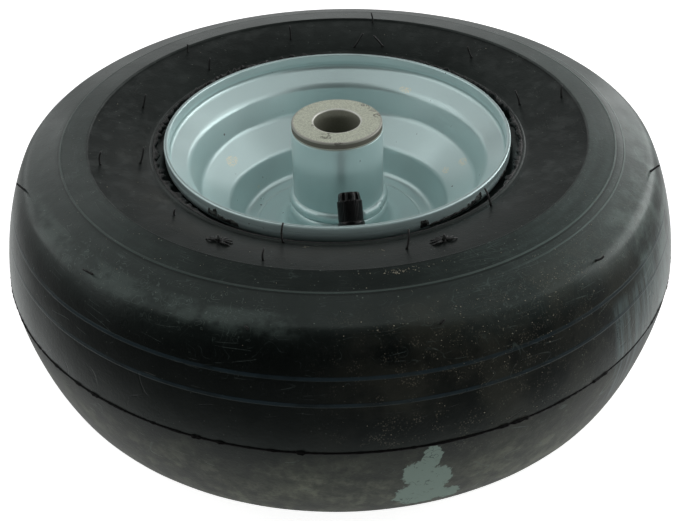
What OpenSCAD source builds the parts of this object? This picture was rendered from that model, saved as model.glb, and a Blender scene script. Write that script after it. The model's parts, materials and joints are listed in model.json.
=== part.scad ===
// Small pneumatic wheel and tyre, lying on its side.
// The origin is the wheel's centre on the axle line, and +Z runs along the axle.
// The valve side is up. Millimetres throughout.

/* [Tyre] */
// Outer diameter over the tread
tyre_od = 279.4; // [274:0.2:288]
// How far the tread falls from its centre line to the shoulder
crown_drop = 12.4; // [9:0.1:14]
// How far the tread's edge lies inside the tyre's greatest half width
crown_in = 7; // [6:0.1:9]
// How soon the tread starts to fall: 2 is an ellipse, less is a straighter slope
crown_fall = 1.56; // [1.4:0.02:2]
// How the tread's width builds up: 1 is an ellipse, more is a fuller shoulder
crown_fill = 1.34; // [1:0.02:1.5]
// Radius of the rounded shoulder
shoulder_round = 8; // [5:0.5:10]
// How far the bevel line between shoulder and sidewall lies inside the tread's radius
bevel_in = 27.9; // [25:0.1:30]
// How far the bevel line lies below the widest part of the sidewall
bevel_fall = 1.4; // [0.6:0.1:2.2]
// How far the edge of the recessed band lies inside the bevel line
band_in = 10.3; // [7:0.1:13]
// Half the tyre's greatest width, just outside the band
tyre_half = 49.5; // [49.2:0.1:50.2]
// How far the band lies below the sidewall around it
band_step = 0.8; // [0.4:0.1:1.2]
// Rubber thickness under the tread
tread_wall = 9; // [7:0.5:11]
// Rubber thickness in the sidewall
side_wall = 5; // [4:0.5:6.5]
// Width of the open groove between rim lip and tyre
rim_groove = 4.6; // [3.6:0.1:5.6]
// Depth of that groove below the tyre's inner edge
groove_depth = 4; // [2.5:0.5:5]
// How far the tyre's inner edge lies below the top of the rim lip
edge_drop = 3.5; // [2.8:0.1:4.6]

/* [Rim] */
// Thickness of the pressed sheet
sheet = 1.8; // [1.4:0.1:2.1]
// Half the rim's width over its lips
rim_half = 46.3; // [45:0.1:48]
// Inside radius of the lip
lip_r = 69.4; // [69.1:0.1:70.6]
// Height of the turned-out end of the lip
lip_turn = 3.3; // [2.4:0.1:4]
// Radius where the lip's turned end starts
lip_neck_r = 68.9; // [68.3:0.1:69.3]
// Height of the whole lip above its foot
lip_h = 5.9; // [5:0.1:7.5]
// Radius at the foot of the lip
lip_foot_r = 69.5; // [69:0.1:70.4]
// How far the flange slopes down from the lip's foot to the bead seat
flange_fall = 5.7; // [5:0.1:7]
// Inside radius of the bead seat at the flange
seat_r = 61.3; // [60:0.1:63]
// Width of the bead seat along the axle
seat_w = 11.4; // [10.5:0.1:12.5]
// Inside radius of the bead seat at the ledge
seat_low_r = 57.7; // [57:0.1:58.5]
// How far the valve ledge slopes down
ledge_fall = 9.2; // [8:0.1:10]
// Inside radius where the ledge turns down into the well
ledge_r = 45.8; // [44.5:0.1:46.5]
// Inside radius at the bottom of the well
well_r = 41.4; // [40:0.1:42.5]
// Bend radius where the lip's end turns out
lip_turn_bend = 1.6; // [0.8:0.1:2.4]
// Bend radius at the foot of the lip
lip_bend = 2.3; // [1.5:0.1:2.8]
// Bend radius of the pressed corners
bend = 5; // [3:0.5:6]
// Bend radius where well meets disc
well_bend = 3; // [2.2:0.2:4]
// Bend radius where the disc turns up round the hub
neck_bend = 7; // [5:0.5:8]
// Height of the drawn collar round the hub, above the wheel's middle
collar_top = 13.4; // [12:0.2:16]
// Radius of the shallow pressed ring in the disc
disc_ring_r = 35.4; // [33:0.2:37]
// Width of the shallow pressed ring
disc_ring_w = 1.4; // [0.8:0.1:2]
// Depth of the shallow pressed ring
disc_ring_deep = 0.3; // [0.2:0.05:0.4]

/* [Hub] */
// Overall length of the hub over both bushing flanges
hub_length = 101.6; // [100:0.1:104]
// Outer diameter of the hub tube
tube_od = 38.1; // [37:0.1:39.5]
// Wall of the hub tube
tube_wall = 1.6; // [1.2:0.1:2.4]
// Bore for the axle
bore_d = 19.1; // [16:0.1:21]
// Thickness of the bushing's flange
flange_t = 3.2; // [2:0.1:4]
// How far the bushing's flange stays inside the tube's outside
flange_inset = 0.35; // [0.1:0.05:0.8]
// Length of the bushing inside the tube
bushing_body = 22; // [15:0.5:28]
// Chamfer on the bushing's edges
bushing_chamfer = 0.6; // [0.3:0.1:0.9]
// Radius of the weld bead's section round the hub
weld_r = 2.5; // [2:0.1:3]
// How far the weld bead stands out past the tube
weld_out = 2; // [1.5:0.1:2.3]
// How much thicker the bead is where its end laps its start
weld_lap = 0.4; // [0.2:0.1:0.8]
// Where the lap starts, turned round the axle
weld_lap_turn = -62; // [-90:1:-40]
// How far round the hub the lap reaches
weld_lap_sweep = 30; // [15:1:45]

/* [Valve] */
// Turn of the valve round the axle
valve_turn = -83.8; // [-100:0.2:-70]
// Diameter of the valve hole in the rim
valve_hole_d = 11.5; // [10.5:0.1:12]
// Diameter of the rubber against the outside of the rim
rubber_foot_d = 14.6; // [13.6:0.1:15.2]
// Diameter of the rubber under the cap
rubber_top_d = 10.4; // [9.6:0.1:10.8]
// Height of the rubber above the rim
rubber_h = 11.6; // [10.6:0.1:12.6]
// Diameter of the rubber head inside the tyre
head_d = 15; // [13.5:0.1:15.6]
// Height of the rubber head inside the tyre
head_h = 8.4; // [7:0.1:9]
// Brass showing above the rubber
thread_h = 10.2; // [9.4:0.1:11]
// Diameter over the brass thread
thread_d = 7.7; // [7.5:0.1:8]
// Diameter of the brass inside the rubber
stem_d = 6.5; // [6.2:0.1:6.9]
// Diameter of the chamber in the brass that takes the core
chamber_d = 5.3; // [5.1:0.1:5.5]
// Diameter of the narrow passage below the chamber
passage_d = 3.9; // [3.7:0.1:4.1]
// Depth of the chamber below the mouth
chamber_deep = 9; // [8.5:0.1:10]
// Length of the cone where chamber meets passage
seat_cone = 1; // [0.7:0.1:1.4]

/* [Valve core] */
// Height of the core's threaded plug
plug_h = 4.2; // [3.6:0.1:4.6]
// Outer diameter of the core's barrel
barrel_d = 3.5; // [3.3:0.1:3.6]
// Wall of the barrel
barrel_wall = 0.4; // [0.3:0.05:0.45]
// Length of the barrel
barrel_h = 8.2; // [7.6:0.1:9]
// Length of the sealing gasket round the barrel
gasket_h = 2; // [1.6:0.1:2.4]
// Diameter of the pin
pin_d = 0.9; // [0.8:0.05:1]
// Diameter of the button on top of the pin
pin_head_d = 1.7; // [1.5:0.1:1.9]
// Height of the button on top of the pin
pin_head_h = 0.6; // [0.4:0.1:0.8]
// How far the button lies below the mouth of the stem
pin_sunk = 0.25; // [0.1:0.05:0.4]
// Travel of the pin when it is pressed
pin_travel = 1.4; // [1:0.1:1.6]
// Diameter of the cup at the pin's foot
cup_d = 3.2; // [3:0.05:3.3]
// Height of the cup
cup_h = 1.2; // [1:0.1:1.4]
// Wire diameter of the spring
wire_d = 0.25; // [0.2:0.05:0.3]
// Number of turns of the spring
spring_turns = 7; // [5:1:9]

/* [Valve cap] */
// Diameter of the ribbed skirt
cap_d = 9.9; // [9.7:0.1:10.6]
// Diameter of the cap's plain foot ring
cap_foot_d = 10.6; // [10.4:0.1:11.4]
// Height of the foot ring
cap_foot_h = 2; // [1.4:0.1:2.6]
// Overall height of the cap
cap_h = 13.6; // [13.2:0.1:15]
// Height of the scalloped crown
crown_h = 3.3; // [2.4:0.1:3.6]
// Diameter at the foot of the crown
crown_foot_d = 9.2; // [8.8:0.1:9.4]
// Diameter at the top of the crown
crown_top_d = 8.4; // [7.6:0.1:8.6]
// Number of ribs round the skirt
cap_ribs = 40; // [30:1:48]
// Depth of the ribs
rib_deep = 0.25; // [0.15:0.05:0.35]
// Number of scallops round the crown
scallops = 6; // [5:1:8]
// Diameter of the cutter for each scallop
scallop_d = 3.2; // [2.6:0.1:3.4]

/* [Hidden] */

$fn = 96;

// Clearances
collar_gap = 0.1;
bead_gap = 0.1;
press_gap = 0.02;
slip_gap = 0.06;
rubber_gap = 0.05;
pin_stop_gap = 0.15;
pin_rest_gap = 0.2;
pin_collar_gap = 0.2;
spring_gap = 0.02;
cap_foot_gap = 0.25;
cap_thread_gap = 0.1;
cap_top_gap = 0.5;

// Steps of the curves, and where the tread gives way to the shoulder
arc_step = 9;
crown_end = 74;

// Small shapes on the tyre
edge_ring = 0.4;
edge_ring_w = 1.4;
edge_land = 2.4;
band_rise = 0.5;
band_step_w = 0.5;
band_bulge = 0.5;
toe_w = 3.5;
toe_lift = 0.6;
bead_w = 6;
bead_h = 3;
bead_lift = 1.5;
shoulder_extra = 1;

// Small shapes on the valve
ease = 0.5;
rubber_lip = 0.4;
rubber_waist_h = 4;
rubber_waist = 0.2;
foot_edge = 2.2;
foot_top = 3.4;
foot_shrink = 1;
head_step = 1.8;
head_nose = 2.2;
head_land = 2;

// Small shapes in the core
bridge_w = 2.2;
bridge_h = 2;
spigot_h = 1.3;
barrel_floor = 0.8;
barrel_lid = 0.5;
pin_collar_h = 0.5;
seal_h = 0.9;
cup_floor = 0.6;
cup_wall = 0.3;
gasket_sit = 0.8;

// Rounding on the sheared edges of the rim's sheet
sheet_edge = 0.7;

// Outward reach of the seam weld past the rim's back faces
seam_out = 1.2;

// How high the hub weld sits on the collar's end, as a share of its radius
weld_sit = 0.8;

paint = [0.66, 0.73, 0.73];
rubber = [0.13, 0.14, 0.14];
sintered = [0.62, 0.61, 0.56];
brass = [0.75, 0.6, 0.3];
black_plastic = [0.05, 0.05, 0.05];

tyre_r = tyre_od / 2;
crown_half = tyre_half - crown_in;
bevel_r = tyre_r - bevel_in;
bevel_half = tyre_half - bevel_fall;
band_r = bevel_r - band_in;
tube_r = tube_od / 2;
tube_half = hub_length / 2 - flange_t;

// Corner points of the rim's inner face, lip to collar: [radius, height, bend]
lip_foot_z = rim_half - lip_h;
seat_z = lip_foot_z - flange_fall;
seat_low_z = seat_z - seat_w;
ledge_z = seat_low_z - ledge_fall;
collar_r = tube_r + collar_gap + sheet;
ledge_corner = [ledge_r, ledge_z, bend];
well_corner = [well_r, sheet, well_bend];
neck_corner = [collar_r, sheet, neck_bend];
rim_corners = [
    [lip_r, rim_half, 0],
    [lip_neck_r, rim_half - lip_turn, lip_turn_bend],
    [lip_foot_r, lip_foot_z, lip_bend],
    [seat_r, seat_z, bend],
    [seat_low_r, seat_low_z, bend],
    ledge_corner,
    well_corner,
    neck_corner,
    [collar_r, collar_top, 0]
];

// The valve stands square on the middle of the ledge
valve_r = (seat_low_r + ledge_r) / 2;
valve_z = (seat_low_z + ledge_z) / 2;
valve_lean = atan2(ledge_fall, seat_low_r - ledge_r);
mouth_z = rubber_h + thread_h;

// Stations along the valve's own axis, from the rim's open face
pin_top = mouth_z - pin_sunk;
plug_z = pin_top - pin_head_h - pin_travel - pin_stop_gap - plug_h;
chamber_z = mouth_z - chamber_deep;
barrel_z = plug_z - barrel_h;
barrel_bore = barrel_d - 2 * barrel_wall;
spigot_d = barrel_bore;
pin_hole_d = pin_d + 2 * slip_gap;
pin_collar_d = barrel_bore - 2 * pin_collar_gap;
pin_collar_z = plug_z - barrel_lid - pin_rest_gap - pin_collar_h;
seal_top = barrel_z - slip_gap;
seal_sunk = cup_h - cup_floor;
cup_top = seal_top - seal_h + seal_sunk;
cup_z = cup_top - cup_h;
cup_bore = cup_d - 2 * cup_wall;
cap_z = rubber_h + cap_foot_gap;

function unit(v) = v / norm(v);
function side(v) = [v[1], -v[0]];
function last(a) = a[len(a) - 1];
function flip(a) = [for (i = [len(a) - 1:-1:0]) a[i]];
function lower(a) = [for (p = a) [p[0], -p[1]]];

// Angle between two directions, 0 to 180
function turn_of(u, v) = acos(max(-1, min(1, u * v)));

// Points of the arc that rounds the corner b between a and c
function bend_arc(a, b, c, r) =
    let (u = unit(b - a), v = unit(c - b), turn = turn_of(u, v))
    let (reach = r * tan(turn / 2), start = b - u * reach)
    let (way = u[0] * v[1] - u[1] * v[0] > 0 ? 1 : -1)
    let (centre = start + way * r * [-u[1], u[0]])
    let (n = max(2, ceil(turn / arc_step)))
    [for (i = [0:n])
        let (s = way * turn * i / n, w = start - centre)
        centre + [w[0] * cos(s) - w[1] * sin(s), w[0] * sin(s) + w[1] * cos(s)]];

// A list of corners as a smooth path, moved sideways by "off"; a bend keeps its centre
function path(c, off = 0) = [
    for (i = [0:len(c) - 1])
        let (p = [c[i][0], c[i][1]], inside = i > 0 && i < len(c) - 1)
        let (a = c[max(0, i - 1)], b = c[min(len(c) - 1, i + 1)])
        let (v0 = unit([b[0], b[1]] - p), u0 = unit(p - [a[0], a[1]]))
        let (u = i > 0 ? u0 : v0, v = i < len(c) - 1 ? v0 : u0)
        let (way = u[0] * v[1] - u[1] * v[0] > 0 ? 1 : -1)
        let (m = side(u) + side(v), q = p + off * m * 2 / (m * m))
        let (r = inside && c[i][2] > 0 ? c[i][2] + way * off : 0)
        each r > 0.05 ? bend_arc(q - u, q, q + v, r) : [q]
];

// Points of the sheared edge from p to q, its two corners rounded; "out" points off the sheet
function sheet_end(p, q, out, r) =
    let (u = unit(q - p))
    concat([for (a = [30:30:90]) p + r * (1 - sin(a)) * -out + r * (1 - cos(a)) * u],
           [for (a = [90:-30:30]) q - r * (1 - sin(a)) * out - r * (1 - cos(a)) * u]);

// Section of one pressed rim half; the sheet lies to the left of its open face
module rim_section() {
    face = path(rim_corners);
    back = path(rim_corners, -sheet);
    lip_out = unit(face[0] - face[1]);
    face_low = face[0] - sheet_edge * lip_out;
    back_low = back[0] - sheet_edge * lip_out;
    polygon(concat([face_low], [for (i = [1:len(face) - 1]) face[i]],
                   [for (i = [len(back) - 1:-1:1]) back[i]], [back_low],
                   sheet_end(back[0], face[0], lip_out, sheet_edge)));
}

module rim_half_solid() {
    difference() {
        rotate_extrude() rim_section();
        disc_groove();
    }
}

// Shallow V-shaped ring pressed into the disc's open face
module disc_groove() {
    rotate_extrude()
        polygon([[disc_ring_r - disc_ring_w / 2, sheet + 0.01],
                 [disc_ring_r + disc_ring_w / 2, sheet + 0.01],
                 [disc_ring_r, sheet - disc_ring_deep]]);
}

// Moves its children to the valve: z = 0 is the rim's open face there
module at_valve() {
    rotate([0, 0, valve_turn])
        translate([valve_r, 0, valve_z])
            rotate([0, -valve_lean, 0])
                children();
}

module upper_half_solid() {
    difference() {
        rim_half_solid();
        at_valve() translate([0, 0, -3 * sheet]) cylinder(d = valve_hole_d, h = 6 * sheet);
    }
}

module rim_half_upper() {
    color(paint) upper_half_solid();
}

module rim_half_lower() {
    color(paint) mirror([0, 0, 1]) rim_half_solid();
}

// Weld bead in the groove between the two halves, inside the tyre
seam_corners = [ledge_corner, well_corner, neck_corner];
seam_path = path(seam_corners, -sheet);
seam_arc = [for (i = [1:len(seam_path) - 2]) seam_path[i]];

module rim_seam_weld() {
    top = seam_arc[0];
    crown = [for (i = [-5:5]) [top[0] + seam_out * cos(90 * i / 6), -top[1] * i / 6]];
    low = [for (i = [0:len(seam_arc) - 2]) seam_arc[i]];
    color(paint)
        rotate_extrude()
            polygon(concat(lower(low), [last(seam_arc)], flip(low), crown));
}

// Tread from its centre line (0) to the shoulder (crown_end)
function tread(t) = [tyre_r - crown_drop * (1 - pow(cos(t), crown_fall)),
                     crown_half * pow(sin(t), crown_fill)];

// Direction square to the tread, outwards
function tread_out(t) = side(unit(tread(t + 0.5) - tread(t - 0.5)));

// Rounded shoulder: leaves the tread square to it and runs out towards the bevel line
shoulder_c = tread(crown_end) - shoulder_round * tread_out(crown_end);
shoulder_to = [bevel_r, bevel_half] - shoulder_c;
shoulder_a0 = atan2(tread_out(crown_end)[1], tread_out(crown_end)[0]);
shoulder_a1 = atan2(shoulder_to[1], shoulder_to[0]) - acos(shoulder_round / norm(shoulder_to));
shoulder_n = 6;

// The tyre's inner edge, beside the rim's lip
lip_out_r = path(rim_corners, -sheet)[0][0];
edge_r = lip_out_r + rim_groove;
edge_z = rim_half - edge_drop;
band_foot = [edge_r + edge_land, edge_z + band_rise];
band_top = [band_r - band_step_w, tyre_half - band_step];
band_n = 6;
toe_z = seat_low_z + toe_lift;
groove_z = edge_z - groove_depth;
bead_face = path(rim_corners, -sheet - bead_gap);

outside = concat(
    [for (i = [0:12]) tread(crown_end * i / 12)],
    [for (i = [1:shoulder_n])
        let (a = shoulder_a0 + (shoulder_a1 - shoulder_a0) * i / shoulder_n)
        shoulder_c + shoulder_round * [cos(a), sin(a)]],
    [[bevel_r, bevel_half], [band_r, tyre_half]],
    [for (i = [0:band_n])
        let (u = i / band_n)
        band_top + (band_foot - band_top) * u + [0, 4 * band_bulge * u * (1 - u)]],
    [[edge_r + edge_ring_w, edge_z], [edge_r + edge_ring_w / 2, edge_z + edge_ring],
     [edge_r, edge_z], [edge_r, groove_z]]
);
inside = [
    [seat_low_r + sheet + toe_w, toe_z],
    [seat_r + sheet + bead_w, seat_low_z + bead_h],
    [edge_r, seat_z - bead_lift],
    (band_foot + band_top) / 2 - [0, side_wall],
    band_top - [0, side_wall],
    [bevel_r, bevel_half] - side_wall * unit([1, 2]),
    tread(crown_end) - (tread_wall + shoulder_extra) * tread_out(crown_end),
    tread(0.7 * crown_end) - tread_wall * tread_out(0.7 * crown_end),
    tread(0.4 * crown_end) - tread_wall * tread_out(0.4 * crown_end),
    tread(0) - [tread_wall, 0]
];
half_section = concat(
    outside,
    [for (p = bead_face) if (p[1] < groove_z - bead_gap && p[1] > toe_z + bead_gap) p],
    inside
);

module tyre() {
    n = len(half_section);
    color(rubber)
        rotate_extrude()
            polygon(concat(half_section, [for (i = [n - 2:-1:1]) [half_section[i][0], -half_section[i][1]]]));
}

module hub_tube() {
    color(paint)
        difference() {
            cylinder(r = tube_r, h = 2 * tube_half, center = true);
            cylinder(r = tube_r - tube_wall, h = 2 * tube_half + 2, center = true);
        }
}

// Flanged bushing of sintered metal, its flange resting on the tube's end at z = tube_half
module bushing() {
    flange_r = tube_r - flange_inset;
    body_r = tube_r - tube_wall - press_gap;
    bore_r = bore_d / 2;
    c = bushing_chamfer;
    foot = tube_half - bushing_body;
    top = tube_half + flange_t;
    rotate_extrude()
        polygon([[bore_r, foot + c], [bore_r + c, foot], [body_r - c, foot], [body_r, foot + c],
                 [body_r, tube_half], [flange_r, tube_half], [flange_r, top - c],
                 [flange_r - c, top], [bore_r + c, top], [bore_r, top - c]]);
}

module bushing_upper() {
    color(sintered) bushing();
}

module bushing_lower() {
    color(sintered) mirror([0, 0, 1]) bushing();
}

// Section of the weld bead that stands "out" past the tube, seated on the collar's end
weld_z = collar_top + weld_sit * weld_r;
function bead_section(out) =
    let (c = [tube_r + out - weld_r, weld_z])
    let (a0 = -asin(weld_sit), a1 = acos((weld_r - out) / weld_r))
    concat([[tube_r, collar_top]],
           [for (i = [0:12])
               let (a = a0 + (a1 - a0) * i / 12)
               c + weld_r * [cos(a), sin(a)]]);

// Weld bead round the hub, thicker where its end laps its start
module hub_weld() {
    rotate([0, 0, weld_lap_turn + weld_lap_sweep])
        rotate_extrude(angle = 360 - weld_lap_sweep) polygon(bead_section(weld_out));
    rotate([0, 0, weld_lap_turn])
        rotate_extrude(angle = weld_lap_sweep) polygon(bead_section(weld_out + weld_lap));
}

module hub_weld_upper() {
    color(paint) hub_weld();
}

module hub_weld_lower() {
    color(paint) mirror([0, 0, 1]) hub_weld();
}

// Snap-in rubber body; its seats are trimmed to the rim's curved sheet
module valve_rubber() {
    foot = rubber_foot_d / 2;
    top = rubber_top_d / 2;
    head = head_d / 2;
    neck = valve_hole_d / 2 - press_gap;
    head_z = -sheet - head_h;
    color(black_plastic)
        difference() {
            at_valve()
                rotate_extrude()
                    polygon([[stem_d / 2, rubber_h], [top - ease, rubber_h], [top, rubber_h - ease],
                             [top + rubber_waist, rubber_h - rubber_waist_h],
                             [foot - foot_shrink, foot_top], [foot, foot_edge], [foot, -rubber_lip],
                             [neck, -rubber_lip], [neck, rubber_lip - sheet], [head, rubber_lip - sheet],
                             [head, -sheet - head_land], [head - head_step, head_z + head_nose],
                             [head - head_step - ease, head_z], [stem_d / 2, head_z]]);
            upper_half_solid();
        }
}

// Brass tube that the rubber is moulded round, with the stepped bore for the core
module valve_stem() {
    foot_z = -sheet - head_h;
    thread_r = thread_d / 2;
    chamber_r = chamber_d / 2;
    passage_r = passage_d / 2;
    color(brass)
        at_valve()
            rotate_extrude()
                polygon([[passage_r, foot_z], [stem_d / 2, foot_z], [stem_d / 2, rubber_h],
                         [thread_r - ease, rubber_h], [thread_r, rubber_h + ease],
                         [thread_r, mouth_z - ease], [thread_r - ease, mouth_z],
                         [chamber_r + ease / 2, mouth_z], [chamber_r, mouth_z - ease / 2],
                         [chamber_r, chamber_z], [passage_r, chamber_z - seat_cone]]);
}

// Threaded plug; a bridge across its top guides the pin
module core_plug() {
    plug_r = chamber_d / 2 - slip_gap;
    color(brass)
        at_valve()
            translate([0, 0, plug_z])
                difference() {
                    cylinder(r = plug_r, h = plug_h);
                    translate([0, 0, -1]) cylinder(d = pin_hole_d, h = plug_h + 2);
                    translate([0, 0, -0.01]) cylinder(d = spigot_d + 2 * slip_gap, h = spigot_h + slip_gap);
                    for (s = [-1, 1])
                        translate([s * (bridge_w / 2 + plug_r), 0, plug_h - bridge_h / 2 + 0.01])
                            cube([2 * plug_r, 2 * plug_r + 1, bridge_h], center = true);
                }
}

// Barrel that hangs under the plug and holds the spring
module core_barrel() {
    color(brass)
        at_valve()
            difference() {
                union() {
                    translate([0, 0, barrel_z]) cylinder(d = barrel_d, h = barrel_h);
                    translate([0, 0, plug_z]) cylinder(d = spigot_d, h = spigot_h);
                }
                translate([0, 0, barrel_z + barrel_floor])
                    cylinder(d = barrel_bore, h = barrel_h - barrel_floor - barrel_lid);
                translate([0, 0, barrel_z - 1]) cylinder(d = pin_hole_d, h = barrel_h + spigot_h + 2);
            }
}

// Soft ring on the barrel that seals on the cone of the stem
module core_gasket() {
    inner = barrel_d / 2;
    outer = chamber_d / 2 - rubber_gap;
    slope = (chamber_d - passage_d) / 2 / seat_cone;
    low = chamber_z - gasket_sit * seat_cone;
    color(black_plastic)
        at_valve()
            rotate_extrude()
                polygon([[inner, low], [outer - gasket_sit * seat_cone * slope, low], [outer, chamber_z],
                         [outer, low + gasket_h], [inner, low + gasket_h]]);
}

// Pin with its button, its spring collar and its foot in the cup
module core_pin() {
    color(brass)
        at_valve()
            union() {
                translate([0, 0, cup_z]) cylinder(d = pin_d, h = pin_top - cup_z);
                translate([0, 0, pin_top - pin_head_h]) cylinder(d = pin_head_d, h = pin_head_h);
                translate([0, 0, pin_collar_z]) cylinder(d = pin_collar_d, h = pin_collar_h);
            }
}

// Cup on the pin's foot that carries the seal
module core_cup() {
    color(brass)
        at_valve()
            translate([0, 0, cup_z])
                difference() {
                    cylinder(d = cup_d, h = cup_h);
                    translate([0, 0, cup_floor]) cylinder(d = cup_bore, h = cup_h);
                    translate([0, 0, -1]) cylinder(d = pin_d, h = cup_h + 2);
                }
}

// Rubber ring in the cup that shuts the barrel's foot
module core_seal() {
    color(black_plastic)
        at_valve()
            translate([0, 0, seal_top - seal_h])
                difference() {
                    cylinder(d = cup_bore, h = seal_h);
                    translate([0, 0, -1]) cylinder(d = pin_d, h = seal_h + 2);
                }
}

// Spring in the barrel: a wire swept along a helix between the floor and the pin's collar
spring_sides = 6;
spring_rings = 10 * spring_turns;
spring_r = (pin_d / 2 + barrel_bore / 2) / 2;
spring_low = barrel_z + barrel_floor + wire_d / 2 + spring_gap;
spring_top = pin_collar_z - wire_d / 2 - spring_gap;

module core_spring() {
    ring = function (i)
        let (u = i / spring_rings, a = 360 * spring_turns * u)
        [for (k = [0:spring_sides - 1])
            let (b = 360 * k / spring_sides, r = spring_r + wire_d / 2 * cos(b))
            [r * cos(a), r * sin(a), spring_low + (spring_top - spring_low) * u + wire_d / 2 * sin(b)]];
    skin = [for (i = [0:spring_rings - 1], k = [0:spring_sides - 1])
        let (a = i * spring_sides + k, b = i * spring_sides + (k + 1) % spring_sides)
        each [[a, b, b + spring_sides], [a, b + spring_sides, a + spring_sides]]];
    first = [for (k = [spring_sides - 1:-1:0]) k];
    end = [for (k = [0:spring_sides - 1]) spring_rings * spring_sides + k];
    color("silver")
        at_valve()
            polyhedron(points = [for (i = [0:spring_rings]) each ring(i)],
                       faces = concat(skin, [first, end]));
}

// Outline of the cap's skirt: flat-topped ribs with narrow V grooves between
function ribbed(r, n) = [
    for (i = [0:n - 1], k = [0:2])
        let (a = 360 * (i + k / 3) / n, q = r - (k < 2 ? 0 : rib_deep))
        q * [cos(a), sin(a)]
];

// Screw cap with a plain foot ring, a ribbed skirt and a scalloped crown
module valve_cap() {
    skirt_h = cap_h - crown_h;
    crown_r = crown_foot_d / 2;
    top_r = crown_top_d / 2;
    bore_top = mouth_z + cap_top_gap - cap_z;
    color(black_plastic)
        at_valve()
            translate([0, 0, cap_z])
                difference() {
                    union() {
                        cylinder(d = cap_foot_d, h = cap_foot_h);
                        linear_extrude(height = skirt_h) polygon(ribbed(cap_d / 2, cap_ribs));
                        difference() {
                            rotate_extrude()
                                polygon([[0, skirt_h - 1], [crown_r, skirt_h - 1], [crown_r, skirt_h],
                                         [top_r, cap_h - ease], [top_r - ease, cap_h], [0, cap_h]]);
                            for (i = [0:scallops - 1])
                                rotate([0, 0, 360 * (i + 0.5) / scallops])
                                    translate([crown_r + 0.2 * scallop_d, 0, skirt_h])
                                        cylinder(d = scallop_d, h = crown_h + 1);
                        }
                    }
                    translate([0, 0, -1]) cylinder(d = thread_d + 2 * cap_thread_gap, h = bore_top + 1);
                }
}

tyre();
rim_half_upper();
rim_half_lower();
rim_seam_weld();
hub_tube();
bushing_upper();
bushing_lower();
hub_weld_upper();
hub_weld_lower();
valve_rubber();
valve_stem();
core_plug();
core_barrel();
core_gasket();
core_pin();
core_spring();
core_cup();
core_seal();
valve_cap();
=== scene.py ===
# %% [markdown]
# # A small air-filled wheel, dressed for the camera
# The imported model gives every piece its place. This lesson gives each visible piece its fine
# surface and its finish. The wheel lies on its side: +Z runs along the axle, and the valve is up.

# %% Load the frame
import json
import math

import bmesh
import bpy
import numpy as np
from mathutils import Matrix, Vector


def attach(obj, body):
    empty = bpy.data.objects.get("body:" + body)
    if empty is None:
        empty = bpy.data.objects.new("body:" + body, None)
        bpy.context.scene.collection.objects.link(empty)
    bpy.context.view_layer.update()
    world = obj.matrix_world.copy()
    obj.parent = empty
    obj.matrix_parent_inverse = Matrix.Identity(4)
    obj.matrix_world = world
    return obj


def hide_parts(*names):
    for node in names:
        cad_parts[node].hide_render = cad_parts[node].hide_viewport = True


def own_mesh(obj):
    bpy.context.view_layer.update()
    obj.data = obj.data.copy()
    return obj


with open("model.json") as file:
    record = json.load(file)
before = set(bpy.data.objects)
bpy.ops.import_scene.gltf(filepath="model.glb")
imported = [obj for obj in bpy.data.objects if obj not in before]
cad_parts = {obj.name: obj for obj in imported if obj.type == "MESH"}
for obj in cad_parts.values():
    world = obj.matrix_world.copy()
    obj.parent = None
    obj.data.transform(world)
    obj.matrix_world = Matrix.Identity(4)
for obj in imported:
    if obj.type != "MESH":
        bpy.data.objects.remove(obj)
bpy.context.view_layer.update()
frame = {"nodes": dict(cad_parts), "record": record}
NODES = frame["nodes"]

# %% [markdown]
# ## Camera and room
# The camera stands where the photographer stood: about half a metre away, 36 degrees above the
# wheel. The room is plain and white. White shows to the camera and in reflections, while the
# light on the wheel comes from soft lamps, so the dark rubber keeps its depth.

# %% Camera
CAMERA_AT = (-0.00012, -0.43533, 0.29527)
CAMERA_DIP, CAMERA_ROLL = math.radians(35.9), math.radians(1.44)

scene = bpy.context.scene
camera = bpy.data.objects.new("camera", bpy.data.cameras.new("camera"))
scene.collection.objects.link(camera)
camera.rotation_mode = "XYZ"
look = Matrix.Rotation(math.pi / 2 - CAMERA_DIP, 4, "X") @ Matrix.Rotation(-CAMERA_ROLL, 4, "Z")
camera.matrix_world = Matrix.Translation(CAMERA_AT) @ look
camera.data.sensor_width = 36
camera.data.lens = 64.2
camera.data.clip_start = 0.01
scene.camera = camera
scene.view_settings.view_transform = "Standard"
print("lens in mm:", camera.data.lens)

# %% [markdown]
# ## Shader maths as Python
# A finish is maths on positions. Each socket is wrapped in a small class, so that a plus sign in
# Python adds a Math node. Numbers alone stay numbers.


# %% Sockets that do maths
MM = 0.001


class Wire:
    """One output socket. Its operators add Math nodes to its finish."""

    def __init__(self, finish, socket):
        self.finish, self.socket = finish, socket

    def maths(self, kind, a, b=0.0, c=0.0):
        return self.finish.node("ShaderNodeMath", {"operation": kind}, a, b, c)

    def __add__(self, b):
        return self.maths("ADD", self, b)

    def __sub__(self, b):
        return self.maths("SUBTRACT", self, b)

    def __mul__(self, b):
        return self.maths("MULTIPLY", self, b)

    def __truediv__(self, b):
        return self.maths("DIVIDE", self, b)

    def __pow__(self, b):
        return self.maths("POWER", self, b)

    def __rsub__(self, a):
        return self.maths("SUBTRACT", a, self)

    __radd__, __rmul__ = __add__, __mul__

    def step(self, low, high):
        """0 below low, 1 above high, and a smooth rise between them; low may be the larger one."""
        settings = {"interpolation_type": "SMOOTHSTEP"}
        return self.finish.node("ShaderNodeMapRange", settings, self, low, high, 0.0, 1.0)

    def bump(self, centre, half, soft):
        """1 within half of the centre, falling to 0 over soft on both sides."""
        off = self.maths("ABSOLUTE", self - centre)
        return off.step(half + soft, half)


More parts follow.
